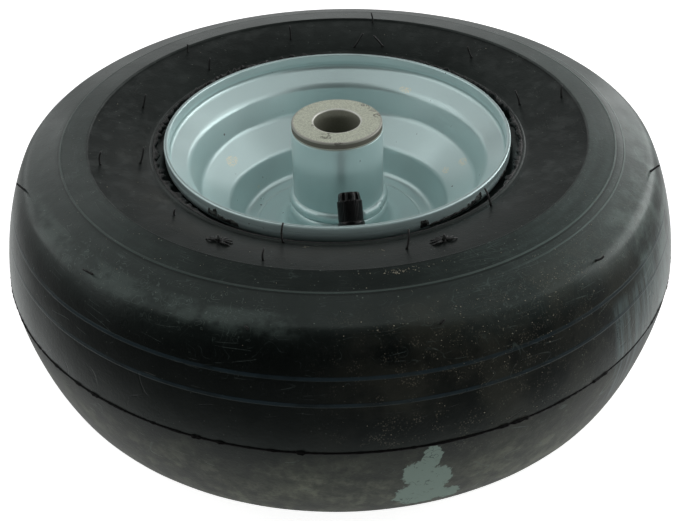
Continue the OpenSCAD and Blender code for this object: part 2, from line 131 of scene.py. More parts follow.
class Graph:
    """A node tree. node() makes any node: its type, its settings, then its sockets' values."""

    def __init__(self, tree):
        self.tree = tree

    def node(self, kind, settings, *values, out=0, **named):
        made = self.tree.nodes.new(kind)
        for key, value in settings.items():
            setattr(made, key, value)
        for key, value in [*enumerate(values), *named.items()]:
            key = key.replace("_", " ") if isinstance(key, str) else key
            if isinstance(value, Wire):
                self.tree.links.new(value.socket, made.inputs[key])
            else:
                made.inputs[key].default_value = value
        return Wire(self, made.outputs[out])

    def rays(self):
        """1 for rays from the camera, for mirrored rays and for rays that went through glass."""
        return [self.node("ShaderNodeLightPath", {}, out="Is %s Ray" % kind)
                for kind in ("Camera", "Glossy", "Transmission")]


class Finish(Graph):
    """One material."""

    def __init__(self, name, **shader):
        self.material = bpy.data.materials.new(name)
        self.material.use_nodes = True
        super().__init__(self.material.node_tree)
        self.shader = self.tree.nodes["Principled BSDF"]
        for key, value in shader.items():
            self.shader.inputs[key.replace("_", " ")].default_value = value
        self.place = self.node("ShaderNodeTexCoord", {}, out="Object")

    def feed(self, socket, wire):
        self.tree.links.new(wire.socket, self.shader.inputs[socket])

    def blend(self, mask, under, over):
        """The colour under where mask is 0 and over where it is 1."""
        made = self.tree.nodes.new("ShaderNodeMix")
        made.data_type = "RGBA"
        for key, value in ((0, mask), (6, under), (7, over)):
            if isinstance(value, Wire):
                self.tree.links.new(value.socket, made.inputs[key])
            elif key == 0:
                made.inputs[key].default_value = value
            else:
                made.inputs[key].default_value = (*value, 1.0)
        return Wire(self, made.outputs[2])

    def noise(self, size, detail=2.0, rough=0.5, at=None, warp=0.0, shift=0):
        """Soft random values from 0 to 1 with lumps about size metres across."""
        at = at or self.place
        if shift:
            at = self.node("ShaderNodeVectorMath", {"operation": "ADD"}, at, (shift, shift / 2, -shift))
        return self.node("ShaderNodeTexNoise", {}, out="Fac", Vector=at, Scale=1 / size,
                         Detail=detail, Roughness=rough, Distortion=warp)

    def dots(self, size, shift=0):
        """Distance to the nearest of many scattered points, about size metres apart, as a share."""
        at = self.node("ShaderNodeVectorMath", {"operation": "ADD"}, self.place, (shift, -shift, shift / 3))
        return self.node("ShaderNodeTexVoronoi", {"feature": "F1"}, out="Distance", Vector=at,
                         Scale=1 / size)

    def blob(self, turn, radius, z, across, along, ragged=0.0):
        """1 inside an egg shape round a point, in millimetres and degrees, with a ragged edge."""
        a = math.radians(turn)
        middle = (radius * math.cos(a), radius * math.sin(a), z)
        off = self.node("ShaderNodeVectorMath", {"operation": "SUBTRACT"}, self.place, [v * MM for v in middle])
        scaled = self.node("ShaderNodeVectorMath", {"operation": "DIVIDE"}, off,
                           (across * MM, across * MM, along * MM))
        reach = self.node("ShaderNodeVectorMath", {"operation": "LENGTH"}, scaled, out="Value")
        if ragged:
            reach = reach + (self.noise(0.0025, 4, 0.6, shift=8) - 0.5) * ragged
        return reach.step(1.06, 0.94)

    def scribble(self, size, lines, width, shift=0, at=None):
        """Thin curls: the contour lines of a soft noise."""
        level = self.noise(size, 2, 0.5, shift=shift, at=at) * lines
        return self.node("ShaderNodeMath", {"operation": "FRACT"}, level).bump(0.5, width, width)

    def relief(self, height, depth):
        """Turns a height from 0 to 1 into a bump of depth metres."""
        bumped = self.node("ShaderNodeBump", {}, out="Normal", Strength=1.0, Distance=depth, Height=height)
        self.feed("Normal", bumped)

    def round_the_axle(self):
        """Millimetres from the axle, millimetres along it, and the unit direction round it."""
        x, y, z = (self.node("ShaderNodeSeparateXYZ", {}, self.place, out=k) for k in range(3))
        radius = (x * x + y * y) ** 0.5
        return radius * 1000, z * 1000, x / radius, y / radius


def facing(east, north, degrees, half, soft):
    """1 within half degrees of a direction round the axle, falling to 0 over soft more degrees."""
    a = math.radians(degrees)
    nearness = east * math.cos(a) + north * math.sin(a)
    return nearness.step(math.cos(math.radians(half + soft)), math.cos(math.radians(half)))


print("finishes are ready to be mixed")

# %% [markdown]
# ## Surfaces as arrays
# Almost everything on a wheel is a section turned round an axis. A section is a list of corner
# points with a radius each. Its bends are worked out for all corners at once, and then every
# point of the section is turned through every angle in one product of arrays.


# %% Bent paths
def bent(corners, off=0.0, steps=8, closed=False):
    """Corners (x, y, bend radius) as a smooth path, moved sideways by off.
    Each corner moves along its mitre. Its arc keeps its centre, so the bend radius changes by off.
    Two more points, just outside each arc, keep the straight stretches flat when shaded."""
    c = np.asarray(corners, float)
    p = c[:, :2]
    ahead = np.roll(p, -1, 0) - p
    behind = p - np.roll(p, 1, 0)
    if not closed:
        ahead[-1], behind[0] = behind[-1], ahead[0]
    v = ahead / np.linalg.norm(ahead, axis=1)[:, None]
    u = behind / np.linalg.norm(behind, axis=1)[:, None]
    cross = u[:, 0] * v[:, 1] - u[:, 1] * v[:, 0]
    way = np.where(cross > 0, 1.0, -1.0)
    m = np.stack([u[:, 1] + v[:, 1], -u[:, 0] - v[:, 0]], 1)
    q = p + off * m * 2 / (m * m).sum(1)[:, None]
    r = np.maximum(c[:, 2] + way * off, 0.03)
    angle = np.arccos(np.clip((u * v).sum(1), -1, 1))
    reach = r * np.tan(angle / 2)
    start = q - u * reach[:, None]
    centre = start + (way * r)[:, None] * np.stack([-u[:, 1], u[:, 0]], 1)
    s = (way * angle)[:, None] * np.linspace(0, 1, steps + 1)
    w = start - centre
    arc = centre[:, None] + np.stack([w[:, :1] * np.cos(s) - w[:, 1:] * np.sin(s),
                                      w[:, :1] * np.sin(s) + w[:, 1:] * np.cos(s)], 2)
    guard = np.minimum(0.35, 0.3 * r + 0.04)[:, None]
    path = np.concatenate([(start - u * guard)[:, None], arc, (arc[:, -1] + v * guard)[:, None]], 1)
    if closed:
        return path.reshape(-1, 2)
    return np.concatenate([q[:1], path[1:-1].reshape(-1, 2), q[-1:]])


print("points in a square with rounded corners:", len(bent([[0, 0, 1], [9, 0, 1], [9, 9, 1], [0, 9, 1]], closed=True)))


# %% Turned grids
def grid_faces(rows, columns, wrap_rows=True, wrap_columns=True):
    """Four-cornered faces between neighbours of a grid of points, as rows of point numbers."""
    i = np.arange(rows if wrap_rows else rows - 1)[:, None]
    j = np.arange(columns if wrap_columns else columns - 1)[None, :]
    a, b = i * columns, (i + 1) % rows * columns
    c, d = j, (j + 1) % columns
    return np.stack([a + c, a + d, b + d, b + c], -1).reshape(-1, 4)


def turned(section, steps, swell=None):
    """Every point (r, z) of the section at every angle: x is r cos, y is r sin. swell adds to r."""
    angle = np.linspace(0, 2 * np.pi, steps, endpoint=False)
    r = section[:, :1] + (0 if swell is None else swell)
    z = np.broadcast_to(section[:, 1:], (len(section), steps))
    return np.stack([r * np.cos(angle), r * np.sin(angle), z], -1).reshape(-1, 3)


def make(name, points, faces, body, finish, weld=0.0, sealed=True):
    """A piece from points in millimetres. The sign of its volume says whether to turn it right side
    out; weld joins points that lie on each other, such as those on an axis."""
    p = np.asarray(points, float) * MM
    corners = [p[faces[:, k]] for k in range(faces.shape[1])]
    volume = sum((np.cross(b - corners[0], c - corners[0]) * corners[0]).sum()
                 for b, c in zip(corners[1:], corners[2:]))
    mesh = bpy.data.meshes.new(name)
    mesh.from_pydata(p, [], (faces if volume > 0 or not sealed else faces[:, ::-1]).tolist())
    if weld:
        b = bmesh.new()
        b.from_mesh(mesh)
        bmesh.ops.remove_doubles(b, verts=b.verts, dist=weld * MM)
        b.to_mesh(mesh)
        b.free()
    mesh.polygons.foreach_set("use_smooth", np.ones(len(mesh.polygons), bool))
    mesh.update()
    piece = bpy.data.objects.new(name, mesh)
    scene.collection.objects.link(piece)
    mesh.materials.append(finish.material)
    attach(piece, body)
    triangles = sum(len(q.vertices) - 2 for q in mesh.polygons)
    print(name, "triangles:", triangles, "size in mm:", [round(d * 1000, 1) for d in piece.dimensions])
    return piece


rng = np.random.default_rng(11)


def wander(angle, waves, size, seed):
    """A closed random line round the axle: a sum of sines whose heights fall with their number."""
    draw = np.random.default_rng(seed)
    k = np.arange(1, waves + 1)[:, None]
    height = draw.normal(size=(waves, 1)) / np.sqrt(k)
    return size * (height * np.sin(k * angle + draw.uniform(0, 2 * np.pi, (waves, 1)))).sum(0) / 2


print("a turned square has", len(grid_faces(4, 16)), "faces")

# %% [markdown]
# ## Rubber
# Old stock rubber isn't plain black. A grey bloom lies on the shoulders, brightened on the sides
# that face the lamps by a painted sheen, brown dust has settled on the front right, the sidewall
# band stays darker and duller, and somebody has left a chalky smear below the parting line.
# Painted highlights line the bevel and the front left shoulder, and painted shade darkens the
# parting line. Each of these is a mask made of distance and direction.

# %% Tyre finish
GREENISH = (0.80, 1.0, 0.93, 1.0)
rubber = Finish("tyre_rubber", Specular_IOR_Level=0.24, Specular_Tint=GREENISH, Coat_Roughness=0.27,
                Coat_Tint=(0.9, 1.0, 0.97, 1.0))
radius, height, east, north = rubber.round_the_axle()
upper = height.step(15, 35)
lower = height.step(0.5, -1.5)
tread = radius.step(124, 131)
band = radius.step(101.6, 101.0) * radius.step(76, 79) * upper
shoulder = radius.step(101.2, 102.5) * height.step(30, 43)

grain = rubber.noise(0.0011, 3, 0.6)
cloud = rubber.noise(0.035, 4, 0.6, shift=3)
patches = rubber.noise(0.012, 5, 0.62, shift=7)
mottle = rubber.noise(0.0055, 4, 0.65, shift=2)
along = rubber.node("ShaderNodeCombineXYZ", {}, radius * 0.35, east * 3, north * 3)
streaks = rubber.noise(1.0, 5, 0.65, at=along)
upright = rubber.node("ShaderNodeCombineXYZ", {}, height * 0.03, east * 60, north * 60)
wiped = rubber.noise(1.0, 4, 0.7, at=upright)

right_side = facing(east, north, -12, 30, 45)
left_side = facing(east, north, 200, 20, 40)
ring_wear = radius.bump(107, 4.5, 2) * 0.35 + 0.65
# The grey bloom is real, but its extra brightness on the right and left sides, where the lamps stand, is a painted
# sheen.
bloom_and_sheen = shoulder * (0.14 + right_side * 0.9 + left_side * 0.42) * (streaks.step(0.28, 0.75) * 0.6 + 0.4) * ring_wear
bloom_and_sheen = bloom_and_sheen * (mottle.step(0.25, 0.75) * 0.4 + 0.7)

colour = rubber.blend(cloud.step(0.3, 0.7), (0.0055, 0.0070, 0.0065), (0.0125, 0.0155, 0.0145))
colour = rubber.blend(tread, colour, (0.0022, 0.0028, 0.0026))
colour = rubber.blend(bloom_and_sheen * 0.8, colour, (0.050, 0.069, 0.064))
settled = band * facing(east, north, 232, 30, 30) * radius.step(97, 84) * patches.step(0.35, 0.65)
colour = rubber.blend(settled * 0.4, colour, (0.034, 0.033, 0.026))
# Below the parting line the rubber is painted a mottled, paler brownish grey, paler still towards the bottom.
paler_towards_bottom = lower * (0.12 + cloud.step(0.35, 0.65) * 0.45 + patches.step(0.44, 0.62) * 0.5) * height.step(8, -26)
paler_towards_bottom = paler_towards_bottom * (mottle.step(0.36, 0.62) * 0.6 + 0.45)
colour = rubber.blend(paler_towards_bottom, colour, (0.098, 0.104, 0.076))
blots = lower * rubber.noise(0.009, 4, 0.7, shift=14).step(0.56, 0.66) * height.step(0, -10)
colour = rubber.blend(blots * 0.5, colour, (0.016, 0.018, 0.014))

smear = facing(east, north, -17, 12, 12) * radius.bump(128, 7, 5) * upper * patches.step(0.38, 0.62)
# A painted highlight along the front left shoulder, mixed with the smear's colour.
painted_highlight_left = facing(east, north, 232, 26, 10) * radius.bump(124.5, 2.5, 2.5) * upper * patches.step(0.40, 0.6)
dried = facing(east, north, -15, 11, 8) * height.bump(17, 13, 6) * patches.step(0.36, 0.58)
smear = smear + dried * (streaks.step(0.3, 0.6) * 0.4 + 0.6)
colour = rubber.blend(smear * 0.8 + painted_highlight_left * 0.35, colour, (0.092, 0.118, 0.108))
curls = rubber.scribble(0.0055, 8, 0.035, 1) * rubber.noise(0.004, 2, 0.5, shift=12).step(0.44, 0.54)
scuffed = shoulder * (facing(east, north, 237, 16, 8) * radius.bump(122.5, 5, 4)
                      + facing(east, north, -35, 25, 15) * 0.6)
colour = rubber.blend(curls * scuffed * 0.55, colour, (0.090, 0.115, 0.105))
arcs = rubber.node("ShaderNodeCombineXYZ", {}, radius * 0.16, east * 1.5, north * 1.5)
scratches = rubber.scribble(1.0, 13, 0.018, 4, at=arcs) * patches.step(0.5, 0.62)
strokes = rubber.scribble(0.02, 16, 0.02, 9) * mottle.step(0.5, 0.6)
scored = upper * (1 - band) + lower * 0.8
colour = rubber.blend((scratches + strokes * 0.7) * scored * (right_side * 0.5 + 0.35), colour, (0.075, 0.100, 0.092))

# The rib lines on the bevel are raised in the relief; their lighter colour, stronger on the right, is a painted
# highlight.
rib = radius.bump(112.2, 0.2, 0.3) * upper * (streaks.step(0.3, 0.6) * 0.6 + 0.4)
rib = rib + radius.bump(115.8, 0.15, 0.35) * upper * facing(east, north, 5, 45, 25)
colour = rubber.blend(rib * (0.45 + right_side * 0.4), colour, (0.105, 0.140, 0.128))
shade_line = (radius.bump(113.0, 0.1, 0.35) + radius.bump(101.0, 0.15, 0.3)) * upper
colour = rubber.blend(shade_line * 0.75, colour, (0.002, 0.002, 0.002))

dust_area = facing(east, north, -58, 18, 22) * radius.bump(130, 9, 6) * height.step(-25, 8)
fine_dust = rubber.dots(0.0008, 1).step(0.45, 0.15) * rubber.noise(0.005, 4, 0.7, shift=5).step(0.48, 0.66)
colour = rubber.blend(dust_area * fine_dust * 0.5, colour, (0.17, 0.155, 0.12))
veil = dust_area * rubber.noise(0.02, 4, 0.6, shift=9).step(0.36, 0.66)
colour = rubber.blend(veil * 0.3, colour, (0.060, 0.058, 0.045))
specks = rubber.dots(0.0038, 2).step(0.085, 0.05) + rubber.dots(0.0024, 6).step(0.10, 0.06) * patches.step(0.5, 0.6)
specks = specks * (1 - tread * facing(east, north, 262, 25, 20) * 0.75)
colour = rubber.blend(specks * 0.7, colour, (0.14, 0.16, 0.14))

wipe = (facing(east, north, -38.5, 4.5, 1.6) * height.bump(2, 20, 5)
        + facing(east, north, -27, 5, 3) * height.bump(10, 18, 6) * 0.8) * wiped.step(0.38, 0.62)
colour = rubber.blend(wipe * 0.7, colour, (0.095, 0.130, 0.132))

chalk = rubber.blob(282.6, 139.6, -7.0, 3.8, 6.5, 0.9)
for turn, z, across, up_down in ((281.0, -15, 6.5, 7.5), (283.6, -20, 6.5, 8.0), (281.6, -29, 9.5, 9.5),
                                 (286.3, -33, 5.5, 5.0)):
    more = rubber.blob(turn, 137.5 - 0.0075 * z * z, z, across, up_down, 0.9)
    chalk = rubber.node("ShaderNodeMath", {"operation": "MAXIMUM"}, chalk, more)
flaked = rubber.noise(0.003, 3, 0.5, shift=6).step(0.24, 0.36) * 0.4 + 0.6
worn_chalk = chalk * flaked
colour = rubber.blend(worn_chalk, colour, (0.185, 0.245, 0.215))
curled = chalk * rubber.scribble(0.004, 5, 0.04, 17) * rubber.noise(0.006, 2, 0.5, shift=18).step(0.5, 0.56)
colour = rubber.blend(curled * 0.7, colour, (0.045, 0.055, 0.05))

tread_line = (height.bump(28.4, 0.45, 0.4) + height.bump(19.0, 0.45, 0.4)) * radius.step(120, 130)
broken = rubber.noise(0.012, 3, 0.6, shift=15).step(0.3, 0.6) * 0.6 + 0.4
colour = rubber.blend(tread_line * broken * 0.8, colour, (0.014, 0.024, 0.031))
# Painted shade darkens the band along the parting line.
parting = height.bump(0, 0.45, 0.2)
colour = rubber.blend(parting, colour, (0.0005, 0.0005, 0.0005))
rubber.feed("Base Color", colour)

wet = (rubber.noise(0.008, 5, 0.68, shift=21).step(0.44, 0.66) * 0.75 + 0.05) * band
front = facing(east, north, 270, 30, 35)
gloss = 0.4 * (1 - band) + wet * (0.45 - front * 0.25) + patches.step(0.35, 0.7) * 0.25 * (1 - band)
gloss = gloss * (1 - front * 0.6)
rubber.feed("Coat Weight", gloss * (1 - worn_chalk) * (1 - parting) * (1 - lower * 0.8))
rough = 0.31 + band * 0.12 + bloom_and_sheen * 0.14 + (cloud - 0.5) * 0.14 + (patches - 0.5) * 0.12 + parting * 0.5
rubber.feed("Roughness", rough + lower * 0.15 + worn_chalk * 0.3)
hills = grain * 0.5 + patches * 1.2 + mottle * 0.7
rubber.relief(hills + tread_line * 0.7 + rib * 2.5 - worn_chalk * 0.2 - scratches * 0.6 - parting * 2, 0.00013)
print("rubber nodes:", len(rubber.tree.nodes))

# %% [markdown]
# ## Tyre
# The tyre is one turned section: a smooth crown, a round shoulder, a bevel, a recessed band and
# the bead below the rim's lip. Its wall is closed inside, so the mesh is a whole solid. A slow
# wander in its radius keeps the reflections from looking machined.

# %% Rim path and tyre section
SHEET = 1.8
RIM = [(69.4, 46.3, 0), (68.9, 43.0, 1.6), (69.5, 40.4, 2.3), (61.3, 34.7, 5), (57.7, 23.3, 5),
       (45.8, 14.1, 5), (41.4, 1.8, 3), (20.95, 1.8, 7), (20.95, 13.4, 0)]
TYRE_R, CROWN_DROP, CROWN_HALF, CROWN_FALL, CROWN_FILL = 139.7, 12.4, 42.5, 1.56, 1.34
BEVEL, BAND, EDGE = (111.8, 48.1), (101.5, 49.5), (75.8, 42.8)
GROOVE_FLOOR, TOE = 38.8, (63.0, 23.9)


def crown(t):
    """Tread from its centre line, t 0, to the shoulder: the radius falls with a power of the
    cosine and the width grows with a power of the sine."""
    t = np.radians(t)
    return np.stack([TYRE_R - CROWN_DROP * (1 - np.cos(t) ** CROWN_FALL),
                     CROWN_HALF * np.sin(t) ** CROWN_FILL], -1)


def tyre_half_section():
    """Outside from the centre line up to the groove, then the bead, then the inner wall back down."""
    tread = crown(np.linspace(0, 74, 46))
    way = crown(74.5) - crown(73.5)
    out = np.array([way[1], -way[0]]) / np.hypot(*way)
    centre = tread[-1] - 8 * out
    to = np.array(BEVEL) - centre
    a0 = math.atan2(out[1], out[0])
    a1 = math.atan2(to[1], to[0]) - math.acos(8 / np.hypot(*to))
    a = np.linspace(a0, a1, 9)[1:]
    arc = centre + 8 * np.stack([np.cos(a), np.sin(a)], -1)
    run = np.linspace(arc[-1], BEVEL, 5)[1:-1]
    bevel = [(112.1, 48.07), BEVEL, (111.5, 48.12)]
    side = np.linspace((111.0, 48.2), (102.2, 49.42), 6)
    lip = [(101.75, 49.47), (101.5, 49.5), (101.35, 49.42), (101.05, 48.78), (100.8, 48.68)]
    u = np.linspace(0.02, 1, 14)[:, None]
    foot, top = np.array([EDGE[0] + 2.4, EDGE[1] + 0.5]), np.array([101.0, 48.7])
    hollow = top + (foot - top) * u + np.concatenate([0 * u, 2 * u * (1 - u)], 1)
    ring = np.array([(2.0, 0.2), (1.6, 0.05), (1.3, 0.1), (1.0, 0.33), (0.7, 0.4), (0.35, 0.35),
                     (0.05, 0.1), (0.0, -0.3), (-0.1, -1.5), (-0.3, -3.6), (-0.8, -4.0)]) + EDGE
    back = bent(RIM, -SHEET - 0.12, steps=5)
    seat = back[(back[:, 1] < GROOVE_FLOOR - 0.1) & (back[:, 1] > TOE[1] + 0.4)]
    inner = [TOE, (69.1, 26.3), (75.8, 33.2), (89.2, 41.0), (101.0, 43.7), (109.6, 43.6),
             (117.5, 33.0), (124.5, 24.0), (129.0, 12.0), (130.6, 4.0)]
    parts = [tread, arc, run, bevel, side, lip, hollow, ring, seat, inner]
    return np.concatenate([np.asarray(x, float).reshape(-1, 2) for x in parts])


tyre_half = tyre_half_section()
tyre_section = np.concatenate([tyre_half, (tyre_half * [1, -1])[::-1][:-1]])
print("points in the tyre's section:", len(tyre_section))

# %% Tyre surface
STEPS = 400
angle = np.linspace(0, 2 * np.pi, STEPS, endpoint=False)
sway = wander(angle, 7, 0.12, 3)[None, :] * (tyre_section[:, :1] > 100)
ripple = np.stack([wander(angle, 40, 0.05, 20 + k) for k in range(12)])
row = np.arange(len(tyre_section)) * 11 / len(tyre_section)
low = row.astype(int)
part = (row - low)[:, None]
skin = (ripple[low] * (1 - part) + ripple[np.minimum(low + 1, 11)] * part) * (tyre_section[:, :1] > 78)
tyre = make("tyre_skin", turned(tyre_section, STEPS, sway + skin), grid_faces(len(tyre_section), STEPS),
            "wheel", rubber)
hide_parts("tyre")

# %% [markdown]
# ## Painted steel
# The rim is grey spray paint over pressed sheet: satin, with a faint orange-peel skin, a few dark
# pits and some brown dust. The two halves are the same pressing, back to back.

# %% Paint finish
paint = Finish("rim_paint", Specular_IOR_Level=0.5, Metallic=0.5, Coat_Weight=0.3, Coat_Roughness=0.2)
radius, height, east, north = paint.round_the_axle()
tone = paint.noise(0.03, 3, 0.5)
colour = paint.blend(tone, (0.545, 0.70, 0.70), (0.585, 0.74, 0.73))
pits = paint.dots(0.014, 4).step(0.026, 0.016)
for turn, r, z, size in ((158.5, 36.9, 1.8, 0.45), (147.5, 59.0, 27.4, 0.5), (2.5, 48.6, 16.3, 0.4)):
    pits = pits + paint.blob(turn, r, z, size, size)
colour = paint.blend(pits * 0.8, colour, (0.05, 0.05, 0.045))
for turn, r, z, wide, tall in ((153.5, 52, 18.9, 4.0, 1.6), (13.5, 55.5, 21.6, 2.6, 1.4), (17.5, 49.2, 16.7, 2.2, 1.2),
                               (147, 42.6, 5.1, 0.8, 0.6), (60, 62.5, 35.5, 3.0, 1.0)):
    rust = paint.blob(turn, r, z, wide, tall, 1.0) * paint.noise(0.0006, 2, 0.6, shift=3).step(0.42, 0.62)
    colour = paint.blend(rust * 0.8, colour, (0.86, 0.80, 0.60))
# Painted shade darkens the crease where the lip bends into the flange.
crease_shade = radius.bump(69.2, 0.25, 0.5) * height.bump(41.2, 0.2, 0.5)
colour = paint.blend(crease_shade * 0.35, colour, (0.2, 0.25, 0.25))
paint.feed("Base Color", colour)
paint.feed("Roughness", 0.25 + paint.noise(0.006, 4, 0.6, shift=2) * 0.08)
peel = paint.noise(0.0013, 2, 0.5)
fine = paint.noise(0.0005, 2, 0.5)
paint.relief(peel * 0.6 + fine * 0.4, 0.00005)
print("paint nodes:", len(paint.tree.nodes))

# %% Rim halves
def pressed():
    """Face and back of the sheet, with the sheared end of the lip rounded by a small bend."""
    ring = [(36.1, 1.8, 0.3), (35.4, 1.5, 0.3), (34.7, 1.8, 0.3)]
    face, back = bent(RIM[:7] + ring + RIM[7:]), bent(RIM, -SHEET)
    lip = bent([(*back[1], 0), (*back[0], 0.75), (*face[0], 0.75), (*face[1], 0)], steps=6)
    return np.concatenate([lip[1:-1], face[1:], back[:0:-1]])


rim_section = pressed()
RIM_STEPS = 288
for side, name in ((1, "rim_half_upper"), (-1, "rim_half_lower")):
    points = turned(rim_section * [1, side], RIM_STEPS)
    piece = make(name + "_painted", points, grid_faces(len(rim_section), RIM_STEPS),
                 "wheel", paint)
    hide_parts(name)

# %% Hub tube
TUBE_R, TUBE_WALL, TUBE_HALF = 19.05, 1.6, 47.6
tube_section = bent([(TUBE_R, -TUBE_HALF, 0.3), (TUBE_R, TUBE_HALF, 0.3),
                     (TUBE_R - TUBE_WALL, TUBE_HALF, 0.3), (TUBE_R - TUBE_WALL, -TUBE_HALF, 0.3)],
                    steps=4, closed=True)
tube = make("hub_tube_painted", turned(tube_section, 192), grid_faces(len(tube_section), 192),
            "wheel", paint)
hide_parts("hub_tube")

# %% Weld beads
WELD_R, COLLAR_TOP = 2.5, 13.4


def bead(turn):
    """Bead round the tube. Its standing out changes with small waves, and rises where the end of
    the bead laps its start, with a steep front and a slow run out."""
    angle = np.linspace(0, 2 * np.pi, 360, endpoint=False)
    along = np.degrees((angle - math.radians(-62)) % (2 * np.pi))
    lap = np.clip(along / 2.5, 0, 1) ** 0.5 * np.clip((34 - along) / 10, 0, 1) ** 0.5
    out = 2.0 + wander(angle, 60, 0.05, 5) + 0.8 * lap
    z = COLLAR_TOP + 2.0 + wander(angle, 24, 0.12, 6)
    a = np.radians(np.linspace(-62, 90, 15))[:, None]
    r = TUBE_R + out - WELD_R + WELD_R * np.cos(a)
    h = z + WELD_R * np.sin(a)
    r = np.concatenate([np.full((1, 360), TUBE_R - 0.4), r, np.full((1, 360), TUBE_R - 0.4)])
    h = np.concatenate([np.full((1, 360), COLLAR_TOP - 0.3), h, h[-1:] - 0.2])
    return np.stack([r * np.cos(angle), r * np.sin(angle), turn * h], -1).reshape(-1, 3)


for side, name in ((1, "hub_weld_upper"), (-1, "hub_weld_lower")):
    piece = make(name + "_bead", bead(side), grid_faces(17, 360), "wheel", paint)
    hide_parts(name)

# %% [markdown]
# ## Sintered bushings
# The flanged bushings are pressed from metal powder: matt, a little warm, with fine grains and
# bright chamfers, partly from wear and partly a painted highlight. A painted highlight lines the
# flange's lower edge, and painted shade darkens the bore.

# %% Bushing finish and shape
sinter = Finish("sintered_metal", Metallic=0.4)
radius, height, east, north = sinter.round_the_axle()
grains = sinter.noise(0.0006, 4, 0.7)
colour = sinter.blend(grains.step(0.3, 0.7), (0.50, 0.53, 0.43), (0.78, 0.82, 0.68))
# The chamfer bands are bright partly from wear and partly as a painted highlight.
worn_edge_and_highlight = (radius.bump(18.35, 0.3, 0.3) + radius.bump(9.9, 0.3, 0.3)) * height.step(50.0, 50.3)
colour = sinter.blend(worn_edge_and_highlight * 0.75, colour, (0.85, 0.86, 0.80))
side_wall = height.step(50.15, 49.8) * radius.step(17.5, 18.5) + height.step(-50.15, -49.8) * radius.step(17.5, 18.5)
colour = sinter.blend(side_wall * 0.75, colour, (0.16, 0.15, 0.12))
# A painted highlight line along the lower edge of the flange.
flange_edge_highlight = height.bump(47.95, 0.15, 0.15) * radius.step(18.2, 18.5)
colour = sinter.blend(flange_edge_highlight * 0.7, colour, (0.70, 0.72, 0.62))
for turn, r, size, depth in ((250, 13.1, 2.6, 0.45), (12, 17.0, 1.6, 0.5), (30, 17.3, 2.2, 0.35), (48, 18.2, 2.4, 0.55),
                             (271, 18.6, 1.6, 0.6), (199, 10.2, 1.0, 0.4)):
    grime = sinter.blob(turn, r, 50.8, size, 1.0, 1.3) * sinter.noise(0.0012, 3, 0.6, shift=5).step(0.4, 0.6)
    colour = sinter.blend(grime * depth * 1.4, colour, (0.07, 0.065, 0.05))
# Painted shade darkens the wall of the bore.
bore_shade = radius.step(9.72, 9.6)
colour = sinter.blend(bore_shade * 0.75, colour, (0.22, 0.22, 0.18))
sinter.feed("Base Color", colour)
sinter.feed("Roughness", 0.5 + grains * 0.15 - worn_edge_and_highlight * 0.2)
sinter.relief(grains, 0.00006)

bushing_section = bent([(9.55, 25.6, 0.5), (17.43, 25.6, 0.5), (17.43, 47.6, 0.15), (18.7, 47.6, 0.3),
                        (18.7, 50.8, 0.7), (9.55, 50.8, 0.7)], steps=5, closed=True)
for side, name in ((1, "bushing_upper"), (-1, "bushing_lower")):
    points = turned(bushing_section * [1, side], 192)
    piece = make(name + "_sintered", points, grid_faces(len(bushing_section), 192),
                 "wheel", sinter)
    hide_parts(name)

# %% [markdown]
# ## Valve
# The valve leans square to the sloping ledge. Its cap is a function of turn and height: ribs on
# the skirt, six scallops in the crown.

# %% Valve axis
VALVE_TURN, VALVE_LEAN = math.radians(-83.8), math.atan2(9.2, 11.9)
VALVE_FOOT = np.array([51.75 * math.cos(VALVE_TURN), 51.75 * math.sin(VALVE_TURN), 18.7])
up = np.array([-math.sin(VALVE_LEAN) * math.cos(VALVE_TURN), -math.sin(VALVE_LEAN) * math.sin(VALVE_TURN),
               math.cos(VALVE_LEAN)])
side = np.array([-math.sin(VALVE_TURN), math.cos(VALVE_TURN), 0.0])
front = np.cross(side, up)


def on_valve(x, y, z):
    """Points given across and along the valve, as points in the wheel's frame."""
    return (VALVE_FOOT + x[..., None] * front + y[..., None] * side + z[..., None] * up).reshape(-1, 3)


gloss_black = Finish("cap_plastic", Roughness=0.22, Specular_IOR_Level=0.28)
scuffs = gloss_black.noise(0.0015, 4, 0.6)
gloss_black.feed("Base Color", gloss_black.blend(scuffs, (0.002, 0.002, 0.002), (0.005, 0.005, 0.005)))
gloss_black.feed("Roughness", 0.16 + scuffs * 0.12)
print("valve axis:", up.round(3))

# %% Valve cap
CAP_Z, CAP_H, FOOT_H, CROWN_H = 11.85, 13.6, 2.0, 3.3
CAP_R, CAP_FOOT_R, CROWN_FOOT_R, CROWN_TOP_R, BORE_R = 4.95, 5.3, 4.6, 4.2, 3.95


